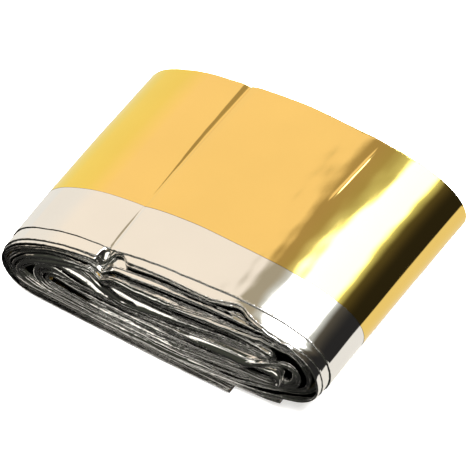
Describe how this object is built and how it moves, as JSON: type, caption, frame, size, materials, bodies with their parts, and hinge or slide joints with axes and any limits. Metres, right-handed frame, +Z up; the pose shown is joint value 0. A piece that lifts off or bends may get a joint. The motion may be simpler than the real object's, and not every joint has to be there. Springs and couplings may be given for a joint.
{
  "type": "foil blanket",
  "caption": "Emergency foil blanket, gold on one side and silver on the other, fan-folded into a strip and wound into a flat packet.",
  "frame": {"origin": "centre of the packet's box, at the level of the surface it lies on", "axes": "+X along the packet towards its higher round end, +Y from the front folds to the back folds, +Z up"},
  "size_m": [0.125, 0.093, 0.0376],
  "materials": {
    "gold_film": "polished",
    "silver_film": "polished"
  },
  "bodies": {
    "root": {"foil_blanket": "gold_film"}
  },
  "joints": []
}
